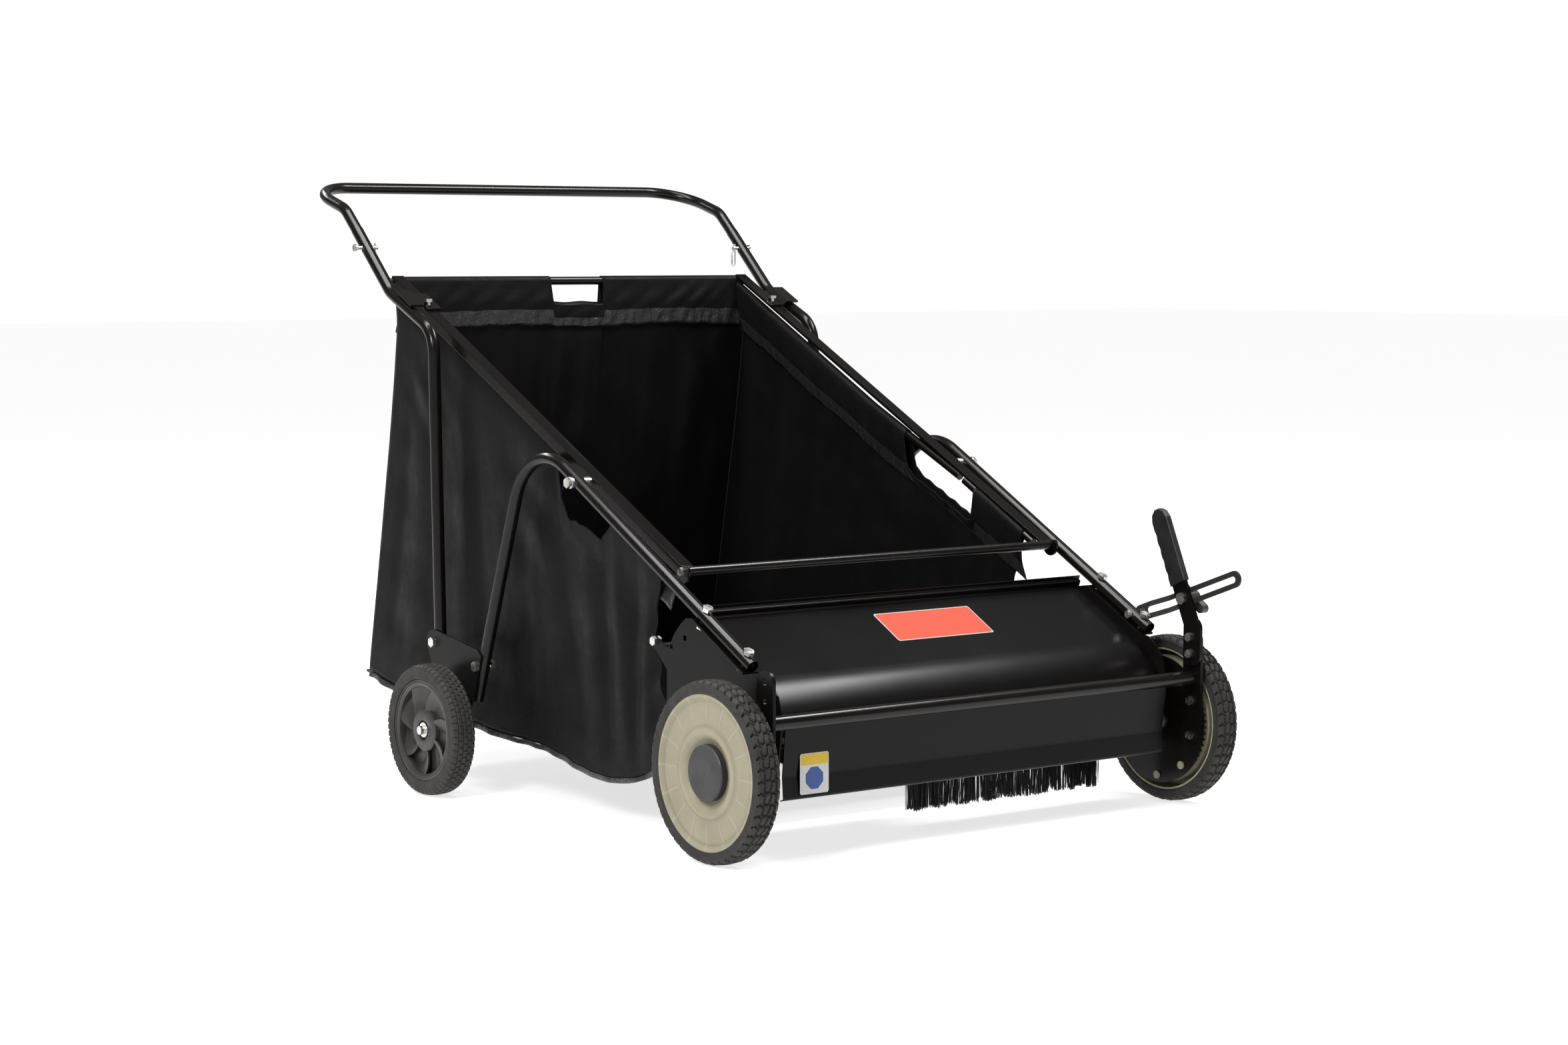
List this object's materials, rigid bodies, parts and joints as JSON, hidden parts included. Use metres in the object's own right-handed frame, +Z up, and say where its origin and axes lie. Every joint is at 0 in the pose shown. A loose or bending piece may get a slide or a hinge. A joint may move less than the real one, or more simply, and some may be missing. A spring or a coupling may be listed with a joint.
{
  "type": "lawn sweeper",
  "caption": "Push lawn sweeper: geared front wheels spin a bristle brush that throws leaves into a fabric hopper hung between bent tube frame rails.",
  "frame": {"origin": "middle of the underside of the assembly box, on the ground", "axes": "+Z up, -Y forward towards the brush housing, +Y back towards the push handle, +X to the left seen from the front, the height lever side"},
  "size_m": [0.834, 1.2594, 0.8702],
  "materials": {
    "black_paint": "gloss black powder coat with a faint brown cast",
    "zinc": "zinc plated",
    "bearing_bronze": "dark moulded bearing plastic",
    "cream_plastic": "satin cream moulded plastic",
    "tyre_black": "moulded block tread",
    "black_plastic": "satin black plastic",
    "gear_plastic": "natural nylon",
    "steel": "plain steel",
    "bristle": "black bristle",
    "bag_fabric": "coated black woven fabric",
    "board": "thin stiff board"
  },
  "bodies": {
    "root": {"side_plate_left": "black_paint", "side_plate_right": "black_paint", "top_cover": "black_paint", "front_panel": "black_paint", "front_frame_tube_left": "black_paint", "front_frame_tube_right": "black_paint", "rear_frame_tube_left": "black_paint", "rear_frame_tube_right": "black_paint", "wheel_plate_left": "black_paint", "wheel_plate_right": "black_paint", "rear_axles": "zinc", "push_nuts": "zinc", "upper_handle": "black_paint", "handle_pins": "zinc", "hairpins": "zinc", "frame_bolts": "zinc", "hopper_pivot_bolts": "zinc", "pivot_spacers": "zinc", "brush_bearings": "bearing_bronze", "stay_bolt": "zinc"},
    "height_carrier": {"height_tube": "black_paint", "strap_left": "black_paint", "strap_right": "black_paint", "wheel_disc_left": "black_paint", "wheel_disc_right": "black_paint", "front_axles": "zinc", "axle_retainers": "zinc", "strap_bolts": "zinc", "disc_rivets": "cream_plastic", "height_lever": "black_paint", "lever_grip": "black_plastic", "clamp_bolt": "zinc"},
    "knob": {"clamp_knob": "black_plastic"},
    "stay": {"slotted_stay": "black_paint"},
    "front_wheel_left": {"front_hub_left": "cream_plastic", "front_tyre_left": "tyre_black", "hub_cap_left": "black_plastic"},
    "front_wheel_right": {"front_hub_right": "cream_plastic", "front_tyre_right": "tyre_black", "hub_cap_right": "black_plastic"},
    "rear_wheel_left": {"rear_hub_left": "black_plastic", "rear_tyre_left": "tyre_black"},
    "rear_wheel_right": {"rear_hub_right": "black_plastic", "rear_tyre_right": "tyre_black"},
    "brush": {"brush_shaft": "steel", "brush_clamps": "steel", "bristles_left": "bristle", "bristles_right": "bristle", "pinion_left": "gear_plastic"},
    "free_pinion": {"pinion_right": "gear_plastic"},
    "hopper": {"rail_left": "black_paint", "rail_right": "black_paint", "hopper_front_rod": "black_paint", "hopper_rear_rod": "black_paint", "hopper_side_rods": "black_paint", "hanger_brackets": "black_paint", "hopper_bolts": "zinc", "hopper_bag": "bag_fabric", "floor_board": "board"}
  },
  "joints": [
    {"name": "height_adjust", "type": "hinge", "parent": "root", "child": "height_carrier", "pos_m": [0, -0.41053, 0.12601], "axis": [1, 0, 0], "range_deg": [-5, 5]},
    {"name": "stay_pivot", "type": "hinge", "parent": "root", "child": "stay", "pos_m": [0.3589, -0.45053, 0.26365], "axis": [1, 0, 0], "range_deg": [-10.4, 10.4]},
    {"name": "knob_turn", "type": "hinge", "parent": "height_carrier", "child": "knob", "pos_m": [0.381, -0.52453, 0.29], "axis": [1, 0, 0], "range_deg": [-180, 180]},
    {"name": "front_wheel_left_spin", "type": "hinge", "parent": "height_carrier", "child": "front_wheel_left", "pos_m": [-0.397, -0.47053, 0.1165], "axis": [1, 0, 0], "continuous": true},
    {"name": "front_wheel_right_spin", "type": "hinge", "parent": "height_carrier", "child": "front_wheel_right", "pos_m": [0.397, -0.47053, 0.1165], "axis": [1, 0, 0], "continuous": true},
    {"name": "brush_spin", "type": "hinge", "parent": "height_carrier", "child": "brush", "pos_m": [0, -0.41053, 0.12601], "axis": [1, 0, 0], "continuous": true},
    {"name": "free_pinion_spin", "type": "hinge", "parent": "height_carrier", "child": "free_pinion", "pos_m": [0.39, -0.41053, 0.12601], "axis": [1, 0, 0], "continuous": true},
    {"name": "rear_wheel_left_spin", "type": "hinge", "parent": "root", "child": "rear_wheel_left", "pos_m": [-0.397, 0.20097, 0.093], "axis": [1, 0, 0], "continuous": true},
    {"name": "rear_wheel_right_spin", "type": "hinge", "parent": "root", "child": "rear_wheel_right", "pos_m": [0.397, 0.20097, 0.093], "axis": [1, 0, 0], "continuous": true},
    {"name": "hopper_tip", "type": "hinge", "parent": "root", "child": "hopper", "pos_m": [0, -0.09153, 0.4565], "axis": [1, 0, 0], "range_deg": [0, 60]}
  ],
  "couplings": [
    {"joint": "stay_pivot", "follows": "height_adjust", "ratio": 2.0675},
    {"joint": "brush_spin", "follows": "front_wheel_left_spin", "ratio": 4},
    {"joint": "free_pinion_spin", "follows": "front_wheel_right_spin", "ratio": 4}
  ]
}
